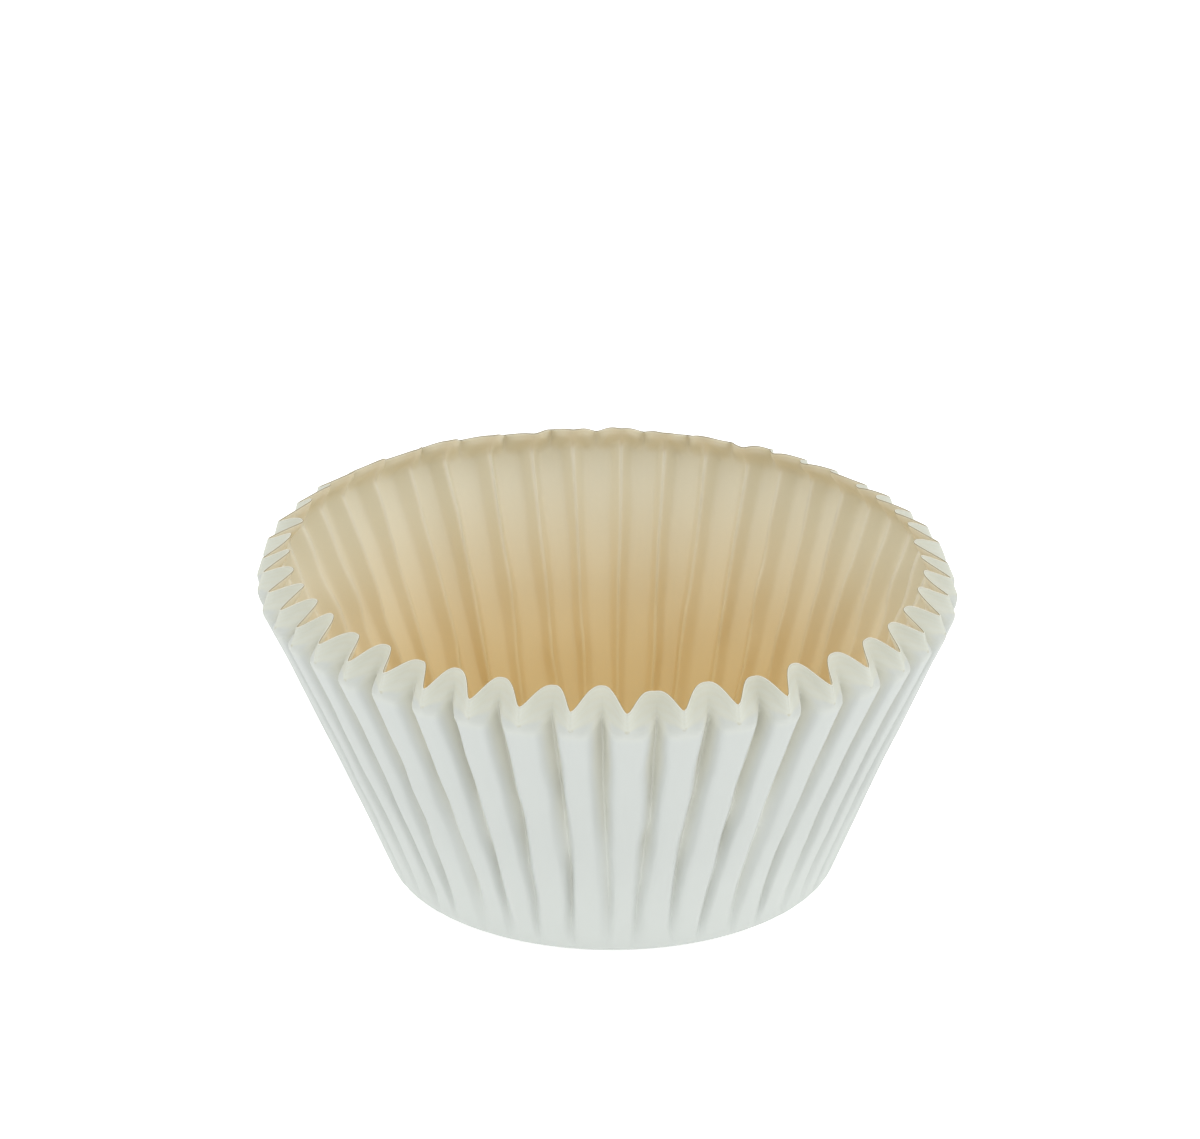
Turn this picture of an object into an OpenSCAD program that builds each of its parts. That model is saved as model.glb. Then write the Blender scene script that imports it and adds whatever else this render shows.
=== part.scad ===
// Paper cupcake liner: one round sheet of baking paper, pressed into a cup with a flat base
// and a pleated wall. Each ridge and each groove holds the same length of paper. The grooves
// stand steeper, so they end higher and the rim rises over each of them in a round arch.
// Millimetres. The base stands on Z = 0, centred on the Z axis, and the front faces -Y.

/* [Sheet] */
// Diameter of the base, where the bend would be a sharp corner
base_d = 45; // [40:0.5:60]
// Paper in the wall, measured along a ridge from the base to the rim
wall_l = 34.9; // [25:0.1:40]
// Thickness of the paper
paper_t = 0.1; // [0.06:0.01:0.2]

/* [Wall] */
// Lean of the wall at the base, in degrees from upright
wall_lean = 22.2; // [14:0.1:28]
// How much more the wall leans at its top, in degrees
wall_flare = 4; // [0:0.5:8]
// Radius of the bend between the base and the wall
bend_r = 1.2; // [0.8:0.1:4]

/* [Rim band] */
// Paper below the rim that turns inwards
rim_band = 2.6; // [2:0.1:4.5]
// How far the band turns from the line of the wall, in degrees
rim_turn = 43; // [0:1:60]
// Paper over which it turns, at the lower edge of the band
rim_turn_l = 1; // [0.5:0.1:1.5]

/* [Pleats] */
// Number of pleats around the wall
pleat_count = 46; // [30:1:52]
// Depth of a pleat at the rim, from the ridge outside to the bottom of the groove
rim_depth = 2.9; // [1.6:0.1:3.2]
// Depth of a pleat on the wall, where the grooves start to open
wall_depth = 2.1; // [1.2:0.1:2.4]
// Narrowness of the grooves on the wall: 1 is wide, 2 is a slit between broad ridges
wall_shape = 1.6; // [0.8:0.1:2.5]
// Paper below the rim band over which the grooves start to open into arches
opening_l = 1; // [0.5:0.1:6]
// Extra height to which the arches are drawn up
arch_rise = 0.4; // [0:0.05:0.6]
// Shape of the arches: 1 follows a sine, and less is fuller
arch_shape = 0.8; // [0.6:0.05:1.2]
// Roundness of the ridges between the arches: 0 is a sharp fold
ridge_round = 0.1; // [0:0.05:0.5]
// Paper above the bend over which the pleats start
foot_l = 2.6; // [1:0.1:6]
// Turn of the first ridge from the front, in degrees to the right
first_ridge = 2.2; // [0:0.1:7.8]

/* [Hidden] */
paper_white = [0.91, 0.92, 0.89];

// Fold lines drawn in one pleat, from a ridge to the next ridge
pleat_lines = 8;
lines = pleat_count * pleat_lines;
line_angle = 360 / lines;

// The sheet in section: flat floor, bend, flared wall, and a rim band that turns inwards
bend_angle = 90 - wall_lean;
bend_l = bend_r * bend_angle * PI / 180;
floor_r = base_d / 2 - bend_r * tan(bend_angle / 2);
fold_l = base_d / 2 + wall_l - floor_r;

// Where the rings of points lie, as paper length from the edge of the flat floor
foot_end = bend_l + foot_l;
band_start = fold_l - rim_band;
arch_start = band_start - opening_l;
rings = [0, bend_l / 2, bend_l, foot_end, arch_start, band_start, band_start + rim_turn_l, fold_l];
last_ring = len(rings) - 1;

// Steps in which the radius and height of a fold line are summed
steps = 120;
step_l = fold_l / steps;

// Rises smoothly from 0 to 1, and stays there
function ease(t) = let (u = max(0, min(1, t))) u * u * (3 - 2 * u);

// A share of the way from one length of paper to another, between 0 and 1
function part_of(s, from, to) = max(0, min(1, (s - from) / (to - from)));

// Radius of a ridge after s of paper: round the bend, up the flared wall, then in at the band
function steepness(s) =
    bend_angle * part_of(s, 0, bend_l)
    - wall_flare * part_of(s, bend_l, band_start)
    + rim_turn * part_of(s, band_start, band_start + rim_turn_l);
ridge_table = [
    for (i = 0, r = floor_r; i <= steps; r = r + step_l * cos(steepness((i + 0.5) * step_l)), i = i + 1)
    [i * step_l, r]
];
function ridge_r(s) = lookup(s, ridge_table);

// The flat sheet is wider than the cup at the same paper length, and pleats take up the rest
function surplus(s) = sqrt(max(0, pow(floor_r + s, 2) - pow(ridge_r(s), 2)));
depth_at_rim = rim_depth / surplus(fold_l);
depth_on_wall = wall_depth / surplus(arch_start);

// How far the grooves have opened into arches: 0 on the wall, 1 at the rim
function opened(s) = ease(part_of(s, arch_start, fold_l));
function depth(s) =
    surplus(s) * (depth_on_wall + (depth_at_rim - depth_on_wall) * opened(s)) * ease(s / foot_end);

// Share of the depth at a place in the pleat: 0 on the ridge, 1 in the groove
function cleft(phase) = pow(1 - abs(cos(phase / 2)), wall_shape);
function rounded(height) = norm([height, ridge_round]) - ridge_round;
function arch(phase) = pow(rounded(sin(phase / 2)) / rounded(1), arch_shape);
function share(s, phase) = cleft(phase) + (arch(phase) - cleft(phase)) * opened(s);

// Heights along a ridge (0) and along a groove (1), with the length of the paper kept
function fold_r(s, part) = ridge_r(s) - part * depth(s);
function rise(s, part) =
    sqrt(max(0, pow(step_l, 2) - pow(fold_r(s + step_l, part) - fold_r(s, part), 2)));
function heights(part) =
    [for (i = 0, z = 0; i <= steps; z = z + rise(i * step_l, part), i = i + 1) [i * step_l, z]];
ridge_heights = heights(0);
groove_heights = heights(1);
function fold_z(s, part) =
    let (
        ridge_z = lookup(s, ridge_heights),
        groove_z = lookup(s, groove_heights) + arch_rise * opened(s)
    )
    ridge_z + part * (groove_z - ridge_z);

// One fold line as pairs of radius and height
function fold_line(phase) =
    [for (s = rings) let (part = share(s, phase)) [fold_r(s, part), fold_z(s, part)]];
pleat = [for (line = [0 : pleat_lines - 1]) fold_line(360 * line / pleat_lines)];

// Points of the outer skin, and of the inner skin one paper thickness inside it
function outer(ring, line) =
    let (place = pleat[(line + pleat_lines) % pleat_lines][ring], a = first_ridge + line * line_angle)
    [place[0] * sin(a), -place[0] * cos(a), place[1]];
function inward(ring, line) =
    ring == 0
    ? [0, 0, 1]
    : let (
        along = outer(min(ring + 1, last_ring), line) - outer(ring - 1, line),
        across = outer(ring, line + 1) - outer(ring, line - 1),
        normal = cross(across, along)
    )
    -normal / norm(normal);
function inner(ring, line) = outer(ring, line) + paper_t * inward(ring, line);

skin_points = lines * len(rings);
points = concat(
    [for (ring = [0 : last_ring], line = [0 : lines - 1]) outer(ring, line)],
    [for (ring = [0 : last_ring], line = [0 : lines - 1]) inner(ring, line)],
    [[0, 0, 0], [0, 0, paper_t]]
);
bottom_centre = 2 * skin_points;
top_centre = bottom_centre + 1;

// Number of a point in the list: skin is 0 for the outer one and 1 for the inner one
function at(skin, ring, line) = skin * skin_points + ring * lines + line % lines;

// Two triangles between neighbouring lines and rings, split to mirror about every fold
function patch(skin, ring, line) =
    let (
        a = at(skin, ring, line),
        b = at(skin, ring, line + 1),
        c = at(skin, ring + 1, line + 1),
        d = at(skin, ring + 1, line)
    )
    line % pleat_lines < pleat_lines / 2 ? [[a, b, c], [a, c, d]] : [[a, b, d], [b, c, d]];
function flipped(face) = [face[2], face[1], face[0]];

outer_wall = [
    for (ring = [0 : last_ring - 1], line = [0 : lines - 1], face = patch(0, ring, line))
    flipped(face)
];
inner_wall = [
    for (ring = [0 : last_ring - 1], line = [0 : lines - 1], face = patch(1, ring, line))
    face
];
cut_edge = [
    for (line = [0 : lines - 1])
    let (
        a = at(0, last_ring, line),
        b = at(0, last_ring, line + 1),
        c = at(1, last_ring, line + 1),
        d = at(1, last_ring, line)
    )
    each [[a, c, b], [a, d, c]]
];
floor_faces = [
    for (line = [0 : lines - 1])
    each [
        [bottom_centre, at(0, 0, line), at(0, 0, line + 1)],
        [top_centre, at(1, 0, line + 1), at(1, 0, line)]
    ]
];

faces = concat(outer_wall, inner_wall, cut_edge, floor_faces);

module liner() {
    color(paper_white)
        polyhedron(points = points, faces = faces, convexity = 10);
}

liner();
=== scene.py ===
"""Looks of a paper cupcake liner, in metres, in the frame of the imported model.

The liner is one round sheet of white baking paper, pressed into a flat floor, a bend and a
pleated wall. Its mesh follows the same rules as the solid, with finer folds and the small
unevenness of pressed paper. A length `along` is measured on the paper, from the centre of the
floor outwards. A `share` runs from 0 to 1.
"""

import math

import bpy
import numpy as np
from mathutils import Matrix, Vector


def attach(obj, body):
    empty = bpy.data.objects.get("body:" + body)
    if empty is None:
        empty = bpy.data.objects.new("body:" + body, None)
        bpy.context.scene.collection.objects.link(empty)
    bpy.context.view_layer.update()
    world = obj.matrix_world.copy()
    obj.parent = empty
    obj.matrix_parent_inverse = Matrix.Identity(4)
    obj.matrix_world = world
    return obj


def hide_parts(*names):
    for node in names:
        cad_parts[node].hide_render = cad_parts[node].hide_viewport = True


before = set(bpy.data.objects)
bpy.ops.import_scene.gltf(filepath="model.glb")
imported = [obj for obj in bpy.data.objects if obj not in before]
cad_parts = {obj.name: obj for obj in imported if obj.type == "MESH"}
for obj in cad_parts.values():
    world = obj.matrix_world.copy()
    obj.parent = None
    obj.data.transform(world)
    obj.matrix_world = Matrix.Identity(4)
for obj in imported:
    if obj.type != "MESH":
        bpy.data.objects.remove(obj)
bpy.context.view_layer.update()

MM = 0.001

# The sheet and its wall, as in the solid
BASE_D = 45 * MM
WALL_L = 34.9 * MM
PAPER_T = 0.1 * MM
WALL_LEAN = math.radians(22.2)
WALL_FLARE = math.radians(4)
BEND_R = 1.2 * MM
RIM_BAND = 2.6 * MM
RIM_TURN = math.radians(43)
RIM_TURN_L = 1 * MM

# The pleats, as in the solid
PLEATS = 46
RIM_DEPTH = 2.9 * MM
WALL_DEPTH = 2.1 * MM
OPENING_L = 1 * MM
FOOT_L = 2.6 * MM
FIRST_RIDGE = math.radians(2.2)
PITCH = 2 * math.pi / PLEATS

BEND_ANGLE = math.pi / 2 - WALL_LEAN
BEND_L = BEND_R * BEND_ANGLE
FLOOR_R = BASE_D / 2 - BEND_R * math.tan(BEND_ANGLE / 2)
SHEET_R = BASE_D / 2 + WALL_L
FOLD_L = SHEET_R - FLOOR_R
BAND_START = FOLD_L - RIM_BAND
ARCH_START = BAND_START - OPENING_L

# How many fold lines a pleat has in the mesh, and how much closer they lie in its groove
PLEAT_LINES = 24
GROOVE_CLOSER = 0.2

# How many rings of points the sheet has, and the steps in which its lengths are summed
FLOOR_RINGS = 3
BEND_RINGS = 5
WALL_RINGS = 23
RIM_RINGS = 14
LENGTH_STEPS = 400

# Unevenness of the pressed paper, drawn for each fold at knots, which run down from the rim.
# Turns are shares of the pitch between two pleats, and changes of depth and shape are shares
# of what they change
KNOTS = 9
TURN_AT_RIM = 0.045
TURN_STEPS = (0.09, 0.07, 0.06, 0.05, 0.025, 0.015, 0.01, 0.01, 0.005)
TURN_LIMIT = 0.18
DEPTH_CHANGES = (0.09, 0.105, 0.15, 0.225, 0.27, 0.27, 0.27, 0.27, 0.3, 0.6)
SHAPE_CHANGE = 0.15
SWELL = 0.07 * MM
RIM_RISE = 0.10 * MM
SEED = 43817

# How far the rim is out of round, as parts that go once and twice round the cup, and the power
# of the height with which that grows
OUT_OF_ROUND_ONCE = (-0.76 * MM, 0.33 * MM)
OUT_OF_ROUND_TWICE = (1.41 * MM, 0.96 * MM)
OUT_OF_ROUND_RISE = 1.6

# Section of a pleat on the wall, as shares of the way from its ridge to its groove
RIDGE_TOP = 0.58
TOP_CORNER = 0.12

# The arches open over less paper than in the solid: where from the cut edge that starts and
# ends at a ridge, and how much closer to the edge at a groove, so that each ridge ends in a V.
# That makes them lower, so they are drawn up more than in the solid
ARCHES_START = 2.8 * MM
ARCHES_END = 1.2 * MM
ARCH_SLANT = 0.6 * MM
ARCH_RISE = 0.9 * MM

# How full the arches are, and the roundness of folds as shares of the depth of a pleat
ARCH_FULLNESS = 2.3
RIDGE_ROUND = 0.5
GROOVE_ROUND = 0.05

# The cream band under the cut edge: its width, how much that wavers, and the distance between
# the lines in it. Then where from the cut edge the band ends, and a weaker cream below it, painted
# light on the shoulder where the paper turns inwards into shade
CREAM_BAND = 1.85 * MM
CREAM_WAVER = 0.3 * MM
CREAM_LINE = 0.42 * MM
CREAM_END = (CREAM_BAND - 0.15 * MM, CREAM_BAND + 0.15 * MM)
SHOULDER_LIGHT_END = (CREAM_BAND + 0.6 * MM, CREAM_BAND + 1.8 * MM)

# Where the painted shadow at the band's lower tips ends, from its lower side, and where the
# painted highlight and shadow of the cut edge end, from the edge
TIP_SHADOW_END = (0.05 * MM, 0.2 * MM)
CUT_END = (0.02 * MM, 0.10 * MM)

# Inside, the amber of painted shade starts this far from the cut edge, and fades out over this
# much of the floor
AMBER_START = 2 * MM
AMBER_ON_FLOOR = 8 * MM

# The grain of the paper: the size of its cloudy patches and of its fibres, and their depth
PATCH_SIZE = 6 * MM
FIBRE_SIZE = 0.35 * MM
GRAIN_DEPTH = 0.03 * MM


def ease(share):
    """A smooth step from 0 to 1."""
    share = np.clip(share, 0, 1)
    return share * share * (3 - 2 * share)


def part_of(folded, start, end):
    """A share of the way from one length of paper to another."""
    return np.clip((folded - start) / (end - start), 0, 1)


def rounded(share, radius):
    """A share that still runs from 0 to 1, with its start rounded off."""
    return (np.hypot(share, radius) - radius) / (math.hypot(1, radius) - radius)


def flank(from_ridge, top):
    """How deep a pleat is: nearly flat on the ridge, then a straight flank down to the groove."""
    def ramp(place):
        return place - top + np.hypot(place - top, TOP_CORNER)

    return (ramp(from_ridge) - ramp(0)) / (ramp(1) - ramp(0))


def wall_radius(folded):
    """Radius without pleats at lengths `folded` of paper past the flat floor, which start at 0."""
    steepness = (
        BEND_ANGLE * part_of(folded, 0, BEND_L)
        - WALL_FLARE * part_of(folded, BEND_L, BAND_START)
        + RIM_TURN * part_of(folded, BAND_START, BAND_START + RIM_TURN_L)
    )
    out = np.cos(steepness)
    steps = np.diff(folded, axis=0) * (out[1:] + out[:-1]) / 2
    return FLOOR_R + np.concatenate([np.zeros_like(out[:1]), np.cumsum(steps, axis=0)])


def fold_depth(folded, wall, opened):
    """Depth of the pleats, which take up what the flat sheet is wider than the cup."""
    surplus = np.sqrt(np.maximum(0, (FLOOR_R + folded) ** 2 - wall ** 2))
    at_rim = RIM_DEPTH / surplus[-1]
    on_wall = WALL_DEPTH / np.interp(ARCH_START, folded[:, 0], surplus[:, 0])
    started = ease(folded / (BEND_L + FOOT_L))
    return surplus * (on_wall + (at_rim - on_wall) * opened) * started


def height_of(radius, step):
    """Height of each fold line of known radius, with its length of paper kept."""
    rise = np.sqrt(np.maximum(0, step ** 2 - np.diff(radius, axis=0) ** 2))
    return np.concatenate([np.zeros_like(radius[:1]), np.cumsum(rise, axis=0)])


def ring_lengths():
    """Lengths past the flat floor at which the wall has rings, closer at its bend and rim."""
    return np.concatenate([
        np.linspace(0, BEND_L, BEND_RINGS, endpoint=False),
        np.linspace(BEND_L, ARCH_START, WALL_RINGS, endpoint=False),
        np.linspace(ARCH_START, FOLD_L, RIM_RINGS),
    ])


class Folds:
    """How each ridge and groove strays. Even folds are ridges, odd folds are grooves."""

    def __init__(self):
        draw = np.random.RandomState(SEED)
        count = 2 * PLEATS
        at_rim = draw.normal(0, TURN_AT_RIM, (count, 1))
        step = np.array(TURN_STEPS)[::-1]
        stray = np.cumsum(step * draw.normal(0, 1, (count, KNOTS)), axis=1)
        turn = np.concatenate([at_rim, at_rim + stray], axis=1)[:, ::-1]
        self.turn = TURN_LIMIT * np.tanh(turn / TURN_LIMIT)
        change = np.array(DEPTH_CHANGES)[::-1]
        self.depth = 1 + change * draw.uniform(-1, 1, (count, KNOTS + 1))
        self.shape = 1 + SHAPE_CHANGE * draw.uniform(-1, 1, (count, KNOTS + 1))
        self.swell = SWELL * draw.uniform(-1, 1, (count, KNOTS + 1))
        self.rise = RIM_RISE * draw.normal(0, 1, (count, 1)) * np.linspace(0, 1, KNOTS + 1) ** 3


def at_height(table, fold, height):
    """Values of numbered folds at a share of the wall's height, from a table of knots."""
    knots = table.shape[1] - 1
    below = np.minimum((height * knots).astype(int), knots - 1)
    fold = fold % (2 * PLEATS)
    low = table[fold, below]
    high = table[fold, below + 1]
    return low + (high - low) * ease(height * knots - below)


def between(table, fold, share, height):
    """Values carried smoothly from each fold to the next one."""
    low = at_height(table, fold, height)
    high = at_height(table, fold + 1, height)
    return low + (high - low) * ease(share)


def outer_skin():
    """Rings of points of the outer skin, their length along the paper, and how deep they lie.

    The depth is given twice, as shares of the deepest: as it is, and as if no arch opened.
    """
    folds = Folds()
    line = np.arange(PLEATS * PLEAT_LINES)
    half = PLEAT_LINES // 2
    fold = line // half
    from_ridge = np.where(fold % 2 == 0, line % half, half - line % half) / half
    from_ridge = from_ridge * (1 + GROOVE_CLOSER * (1 - from_ridge))
    share = np.where(fold % 2 == 0, from_ridge, 1 - from_ridge)

    fine = np.linspace(0, FOLD_L, LENGTH_STEPS + 1)[:, None]
    height = fine / FOLD_L
    slanted = fine - ARCH_SLANT * from_ridge
    opened = ease(part_of(slanted, FOLD_L - ARCHES_START, FOLD_L - ARCHES_END))
    wall = wall_radius(fine)
    depth = fold_depth(fine, wall, opened) * between(folds.depth, fold, share, height)
    arch = rounded(1 - (1 - from_ridge) ** ARCH_FULLNESS, RIDGE_ROUND)
    cleft = flank(from_ridge, RIDGE_TOP * at_height(folds.shape, fold | 1, height))
    cleft = 1 - rounded(1 - cleft, GROOVE_ROUND)
    groove = cleft + (arch - cleft) * opened
    radius = wall - groove * depth

    step = fine[1, 0]
    wall_z = height_of(wall, step)
    z = wall_z + groove * (height_of(wall - depth, step) - wall_z + ARCH_RISE * opened)
    z += between(folds.rise, fold, share, height)
    radius = radius + between(folds.swell, fold, share, height) * ease(2 * height)

    low = at_height(folds.turn, fold, height)
    high = at_height(folds.turn, fold + 1, height)
    angle = FIRST_RIDGE + PITCH * (fold / 2 + low + (1 / 2 + high - low) * share)
    once_sin, once_cos = OUT_OF_ROUND_ONCE
    twice_cos, twice_sin = OUT_OF_ROUND_TWICE
    radius = radius + height ** OUT_OF_ROUND_RISE * (
        once_sin * np.sin(angle) + once_cos * np.cos(angle)
        + twice_cos * np.cos(2 * angle) + twice_sin * np.sin(2 * angle)
    )

    rings = ring_lengths()
    place = np.clip(np.round(rings / step).astype(int), 0, LENGTH_STEPS)
    folded_up = np.stack([radius * np.sin(angle), -radius * np.cos(angle), z], axis=-1)[place]
    floor_share = np.arange(1, FLOOR_RINGS)[:, None, None] / FLOOR_RINGS
    points = np.concatenate([folded_up[:1] * floor_share, folded_up])
    along = np.concatenate([FLOOR_R * floor_share[:, 0, 0], FLOOR_R + fine[place, 0]])
    sunk = np.stack([groove * depth, cleft * depth])[:, place] / RIM_DEPTH
    sunk = np.concatenate([np.zeros((2, FLOOR_RINGS - 1, len(line))), sunk], axis=1)
    return points, along, sunk


def inner_skin(outer):
    """The outer skin moved inwards by the thickness of the paper."""
    up = np.gradient(outer, axis=0)
    sideways = np.roll(outer, -1, axis=1) - np.roll(outer, 1, axis=1)
    inward = np.cross(up, sideways)
    inward /= np.linalg.norm(inward, axis=-1, keepdims=True)
    inward[:FLOOR_RINGS] = (0, 0, 1)
    return outer + PAPER_T * inward


def add_values(mesh, name, values):
    """Stores one number for each point of the mesh, for a material to read."""
    mesh.attributes.new(name, "FLOAT", "POINT").data.foreach_set("value", values.ravel())


def make_liner():
    """The pleated sheet as one closed mesh: outer skin, inner skin and the cut edge."""
    outer, along, (sunk, cleft) = outer_skin()
    inner = inner_skin(outer)
    ring_count, line_count = sunk.shape
    skin_size = ring_count * line_count
    grid = np.arange(skin_size).reshape(ring_count, line_count)
    after = np.roll(grid, -1, axis=1)

    outer_quads = np.stack([grid[:-1], after[:-1], after[1:], grid[1:]], axis=-1).reshape(-1, 4)
    inner_quads = outer_quads[:, ::-1] + skin_size
    edge, edge_after = grid[-1], after[-1]
    edge_quads = np.stack([edge, edge_after, edge_after + skin_size, edge + skin_size], axis=-1)
    under, upper = 2 * skin_size, 2 * skin_size + 1
    under_fan = [(under, b, a) for a, b in zip(grid[0], after[0])]
    upper_fan = [(upper, a + skin_size, b + skin_size) for a, b in zip(grid[0], after[0])]

    centres = [(0, 0, 0), (0, 0, PAPER_T)]
    points = np.concatenate([outer.reshape(-1, 3), inner.reshape(-1, 3), centres])
    quads = np.concatenate([outer_quads, inner_quads, edge_quads]).tolist()
    mesh = bpy.data.meshes.new("liner_paper")
    mesh.from_pydata(points.tolist(), [], quads + under_fan + upper_fan)
    smooth = np.ones(len(mesh.polygons), bool)
    smooth[2 * len(outer_quads):len(quads)] = False
    mesh.polygons.foreach_set("use_smooth", smooth)

    from_edge = np.repeat(SHEET_R - along, line_count)
    add_values(mesh, "from_edge", np.concatenate([from_edge, from_edge, [SHEET_R, SHEET_R]]))
    add_values(mesh, "sunk", np.concatenate([sunk.ravel(), sunk.ravel(), [0, 0]]))
    add_values(mesh, "cleft", np.concatenate([cleft.ravel(), cleft.ravel(), [0, 0]]))
    inside = np.concatenate([np.zeros(skin_size), np.ones(skin_size), [0, 1]])
    add_values(mesh, "inside", inside)

    liner = bpy.data.objects.new("liner_paper", mesh)
    bpy.context.scene.collection.objects.link(liner)
    return liner


class Value:
    """A number or colour that varies over a surface: Python's operators add its Math nodes."""

    def __init__(self, nodes, socket):
        self.nodes = nodes
        self.socket = socket

    def math(self, operation, *others):
        """A Math node on this value, and on others if its operation takes more."""
        sockets = dict(enumerate((self, *others)))
        return self.nodes.add("ShaderNodeMath", {"operation": operation}, sockets)

    def __add__(self, other):
        return self.math("ADD", other)

    __radd__ = __add__

    def __mul__(self, other):
        return self.math("MULTIPLY", other)

    __rmul__ = __mul__

    def __sub__(self, other):
        return self.math("SUBTRACT", other)

    def __rsub__(self, other):
        return self * -1 + other

    def step(self, low, high):
        """0 where this is at most low, 1 where it is at least high, and smooth between them."""
        settings = {"interpolation_type": "SMOOTHSTEP"}
        return self.nodes.add("ShaderNodeMapRange", settings, {"Value": self, 1: low, 2: high})


class Nodes:
    """The nodes of one new material."""

    def __init__(self, name):
        self.material = bpy.data.materials.new(name)
        self.material.use_nodes = True
        self.tree = self.material.node_tree
        self.tree.nodes.clear()

    def add(self, kind, settings, sockets, output=0):
        """Adds a node of a type, with its settings and the values or links of its sockets."""
        node = self.tree.nodes.new(kind)
        for name, setting in settings.items():
            setattr(node, name, setting)
        for name, value in sockets.items():
            if isinstance(value, Value):
                self.tree.links.new(value.socket, node.inputs[name])
            else:
                node.inputs[name].default_value = value
        return Value(self, node.outputs[output]) if node.outputs else None

    def read(self, attribute):
        """A number stored on the mesh."""
        return self.add("ShaderNodeAttribute", {"attribute_name": attribute}, {}, "Fac")

    def mix(self, share, first, second):
        """A colour between two colours."""
        settings = {"data_type": "RGBA", "clamp_factor": True}
        return self.add("ShaderNodeMix", settings, {0: share, 6: first, 7: second}, 2)

    def noise(self, size, detail=2.0):
        """Noise from 0 to 1 with lumps of a size in metres."""
        where = self.add("ShaderNodeTexCoord", {}, {}, "Object")
        sockets = {"Vector": where, "Scale": 1 / size, "Detail": detail}
        return self.add("ShaderNodeTexNoise", {}, sockets)

    def surface(self, **sockets):
        """Ends the material in one Principled shader and returns it."""
        named = {name.replace("_", " "): value for name, value in sockets.items()}
        shader = self.add("ShaderNodeBsdfPrincipled", {}, named)
        self.add("ShaderNodeOutputMaterial", {}, {"Surface": shader})
        return self.material


# Paper outside, on the ridges and at their feet, then in the grooves and at their feet. The
# feet and grooves are painted lighter, the grooves also warmer: painted light in the folds
WHITE_PAPER = (0.495, 0.52, 0.505, 1)
LIT_RIDGE_FOOT = (0.545, 0.572, 0.552, 1)
LIT_GROOVE_HIGH = (0.605, 0.605, 0.535, 1)
LIT_GROOVE_LOW = (0.63, 0.64, 0.59, 1)

# The cream band on its ridges and in its grooves, where it is painted darker and warmer as
# shade, and the painted shadow at its lower tips
CREAM_PAPER = (0.575, 0.592, 0.53, 1)
CREAM_SHADE_AND_GRAIN = (0.565, 0.555, 0.455, 1)
TIP_SHADOW = (0.42, 0.39, 0.26, 1)

# The cut edge: a painted highlight at its outer side and a painted shadow at its inner side
CUT_EDGE_HIGHLIGHT = (0.80, 0.79, 0.69, 1)
CUT_SHADE = (0.26, 0.21, 0.11, 1)

# Paper inside: under the rim, low on the wall and on the floor. Its cream and amber are painted
# bounce light and painted shade, deepest low on the wall
INSIDE_BOUNCE_CREAM = (0.81, 0.77, 0.63, 1)
INSIDE_AMBER_SHADE = (0.78, 0.60, 0.30, 1)
INSIDE_FLOOR = (0.80, 0.69, 0.46, 1)


def paper_material():
    """White greaseproof paper: cool white outside with painted light in its folds, a cream band at
    the rim, painted warm bounce light and shade inside.
    """
    nodes = Nodes("baking_paper")
    from_edge = nodes.read("from_edge")
    sunk = nodes.read("sunk")
    cleft = nodes.read("cleft")
    inside = nodes.read("inside")
    patches = nodes.noise(PATCH_SIZE)
    fibres = nodes.noise(FIBRE_SIZE, 4.0)

    # Painted light: lighter towards the foot, and lighter and warmer deep in the grooves
    ridges = nodes.mix(from_edge.step(WALL_L * 0.5, WALL_L), WHITE_PAPER, LIT_RIDGE_FOOT)
    grooves = nodes.mix(from_edge.step(WALL_L * 0.1, WALL_L * 0.6), LIT_GROOVE_HIGH, LIT_GROOVE_LOW)
    outside = nodes.mix(cleft.step(0.06, 0.5), ridges, grooves)

    wavering = from_edge + (patches - 0.5) * CREAM_WAVER
    band = 1 - wavering.step(*CREAM_END)
    shoulder_light = 1 - wavering.step(*SHOULDER_LIGHT_END)
    lines = (wavering * (2 * math.pi / CREAM_LINE)).math("SINE")
    # Painted shade: the band is darker and warmer where the pleats are sunk; lines and patches are
    # its own tone
    cream = nodes.mix(sunk * 0.6 + lines * 0.15 + patches * 0.2, CREAM_PAPER, CREAM_SHADE_AND_GRAIN)
    # Painted light: a weaker cream below the band lightens the shoulder where the paper turns
    # inwards
    outside = nodes.mix(band * 0.7 + shoulder_light * 0.3, outside, cream)

    # Painted shadow along the band's lower side on the ridges, broken up by the fibres
    off_line = (from_edge - CREAM_BAND).math("ABSOLUTE")
    at_line = 1 - off_line.step(*TIP_SHADOW_END)
    on_ridge = 1 - sunk.step(0.01, 0.05)
    tip_shade = at_line * on_ridge * fibres.step(0.4, 0.6)
    outside = nodes.mix(tip_shade * 0.5, outside, TIP_SHADOW)

    # Painted bounce light and shade inside: cream under the rim, amber low on the wall, less on
    # the floor
    warm = nodes.mix(from_edge.step(AMBER_START, WALL_L * 0.8), INSIDE_BOUNCE_CREAM, INSIDE_AMBER_SHADE)
    on_floor = from_edge.step(WALL_L, WALL_L + AMBER_ON_FLOOR)
    warm = nodes.mix(on_floor, warm, INSIDE_FLOOR)
    colour = nodes.mix(inside, outside, warm)
    # Painted highlight along the cut edge outside, and painted shadow at its inner side
    edge = 1 - from_edge.step(*CUT_END)
    cut = nodes.mix(inside.step(0.2, 0.6), CUT_EDGE_HIGHLIGHT, CUT_SHADE)
    colour = nodes.mix(edge, colour, cut)
    colour = nodes.mix((fibres - 0.5) * 0.10 + 0.05, colour, CREAM_SHADE_AND_GRAIN)

    grain = {"Strength": 0.15, "Distance": GRAIN_DEPTH, "Height": fibres * 0.6 + patches * 0.4}
    bump = nodes.add("ShaderNodeBump", {}, grain)
    roughness = 0.72 + fibres * 0.12
    return nodes.surface(Base_Color=colour, Roughness=roughness, Normal=bump)


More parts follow.
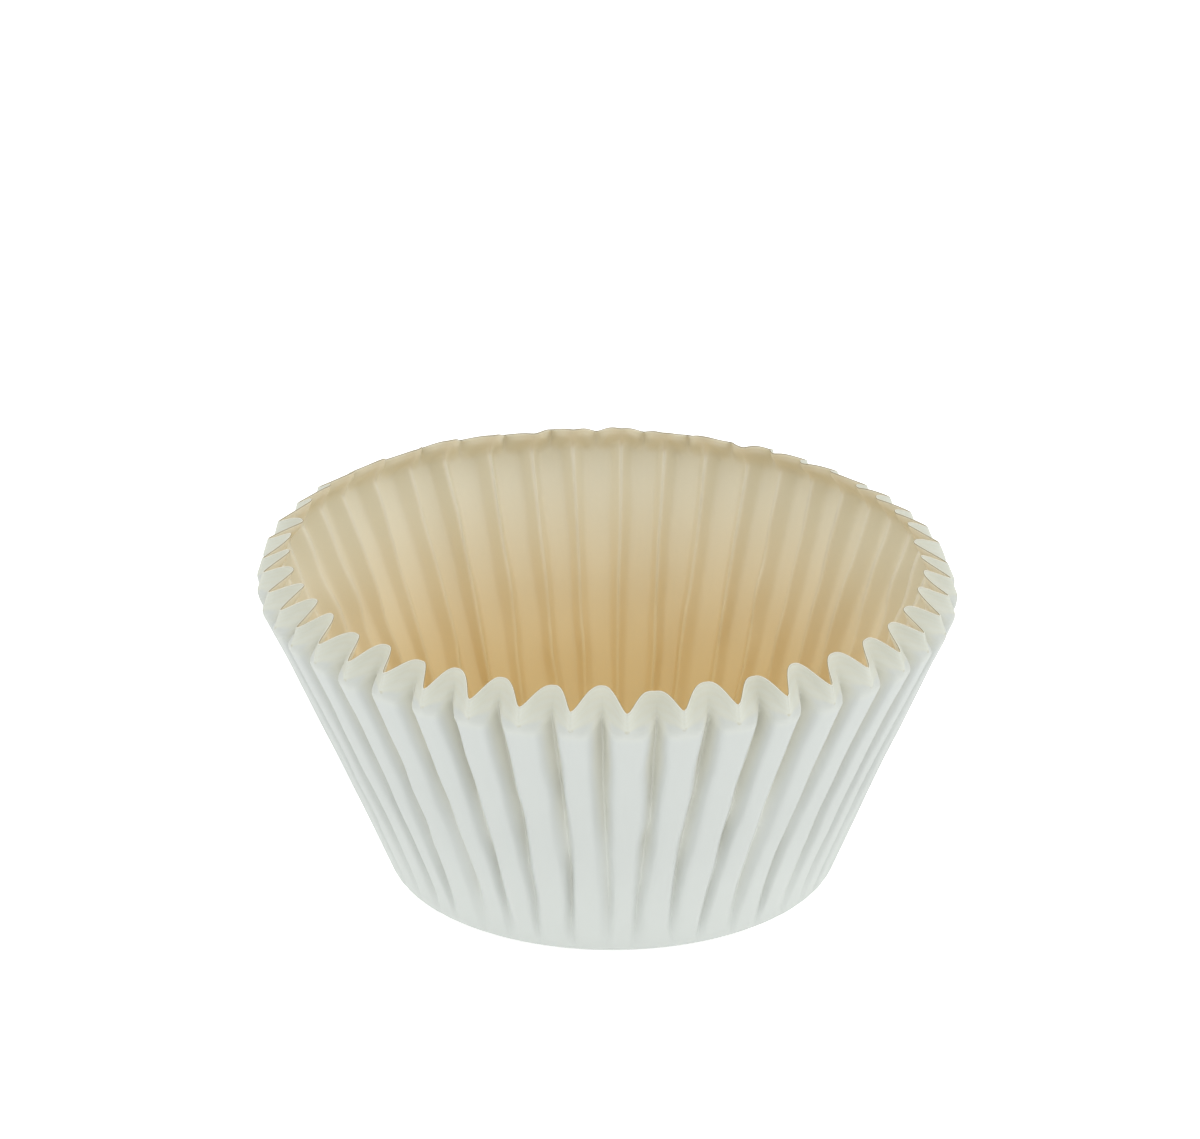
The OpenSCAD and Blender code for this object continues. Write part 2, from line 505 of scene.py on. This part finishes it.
# The floor reaches this far from the liner, in metres
FLOOR_REACH = 3
FLOOR_WHITE = (0.93, 0.93, 0.93, 1)
FLOOR_GLOW = {"Emission_Color": (1, 1, 1, 1), "Emission_Strength": 0.45}


def floor_material():
    """Plain pale floor, lit a little from below like a light table."""
    return Nodes("studio_floor").surface(Base_Color=FLOOR_WHITE, Roughness=0.9, **FLOOR_GLOW)


def make_floor():
    """A wide plain floor under the liner, with its top at the height of the base."""
    far = FLOOR_REACH
    corners = [(-far, -far, 0), (far, -far, 0), (far, far, 0), (-far, far, 0)]
    mesh = bpy.data.meshes.new("studio_floor")
    mesh.from_pydata(corners, [], [(0, 1, 2, 3)])
    floor = bpy.data.objects.new("studio_floor", mesh)
    bpy.context.scene.collection.objects.link(floor)
    mesh.materials.append(floor_material())


# The camera looks down at a point just left of the cup's axis, and the scale there is its zoom
CAMERA_DISTANCE = 400 * MM
CAMERA_DOWN = math.radians(22.4)
CAMERA_ROLL = math.radians(-0.16)
LOOK_AT = Vector((-1.2 * MM, 0, 30.93 * MM))
PIXELS_PER_METRE = 10071
PICTURE_WIDTH = 1200
SENSOR_WIDTH = 36


def make_camera():
    """A long lens from in front and above."""
    data = bpy.data.cameras.new("camera")
    data.sensor_width = SENSOR_WIDTH
    data.lens = PIXELS_PER_METRE * CAMERA_DISTANCE / PICTURE_WIDTH * SENSOR_WIDTH
    data.clip_start = 0.01
    data.clip_end = 20
    camera = bpy.data.objects.new("camera", data)
    back = Vector((0, -math.cos(CAMERA_DOWN), math.sin(CAMERA_DOWN)))
    turn = Matrix.Rotation(CAMERA_ROLL, 3, "Z")
    right = Vector((1, 0, 0))
    facing = Matrix((right, back.cross(right), back)).transposed()
    place = Matrix.Translation(LOOK_AT + CAMERA_DISTANCE * back)
    camera.matrix_world = place @ (facing @ turn).to_4x4()
    bpy.context.scene.collection.objects.link(camera)
    bpy.context.scene.camera = camera


# Soft light from all round
SKY_COLOUR = (0.98, 0.99, 0.99, 1)
SKY_STRENGTH = 0.9

# Wide soft lights: the way to each, and its strength
LIGHT_COLOUR = (1.0, 0.99, 0.97)
LIGHT_WIDTH = math.radians(80)
LIGHTS = {
    "top_light": ((0.05, -0.6, 1.0), 0.2),
    "left_light": ((-1.0, -0.15, 0.3), 0.55),
    "right_light": ((1.0, -0.15, 0.3), 0.75),
}


def make_light():
    """Soft light from all round, a little stronger from above and from both sides."""
    world = bpy.data.worlds.new("studio")
    world.use_nodes = True
    background = world.node_tree.nodes["Background"]
    background.inputs["Color"].default_value = SKY_COLOUR
    background.inputs["Strength"].default_value = SKY_STRENGTH
    bpy.context.scene.world = world

    for name, (way, strength) in LIGHTS.items():
        data = bpy.data.lights.new(name, "SUN")
        data.energy = strength
        data.angle = LIGHT_WIDTH
        data.color = LIGHT_COLOUR
        light = bpy.data.objects.new(name, data)
        light.matrix_world = Vector(way).to_track_quat("Z", "Y").to_matrix().to_4x4()
        bpy.context.scene.collection.objects.link(light)
    bpy.context.scene.view_settings.view_transform = "Standard"


liner = make_liner()
liner.data.materials.append(paper_material())
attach(liner, "root")
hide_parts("liner")
make_floor()
make_camera()
make_light()
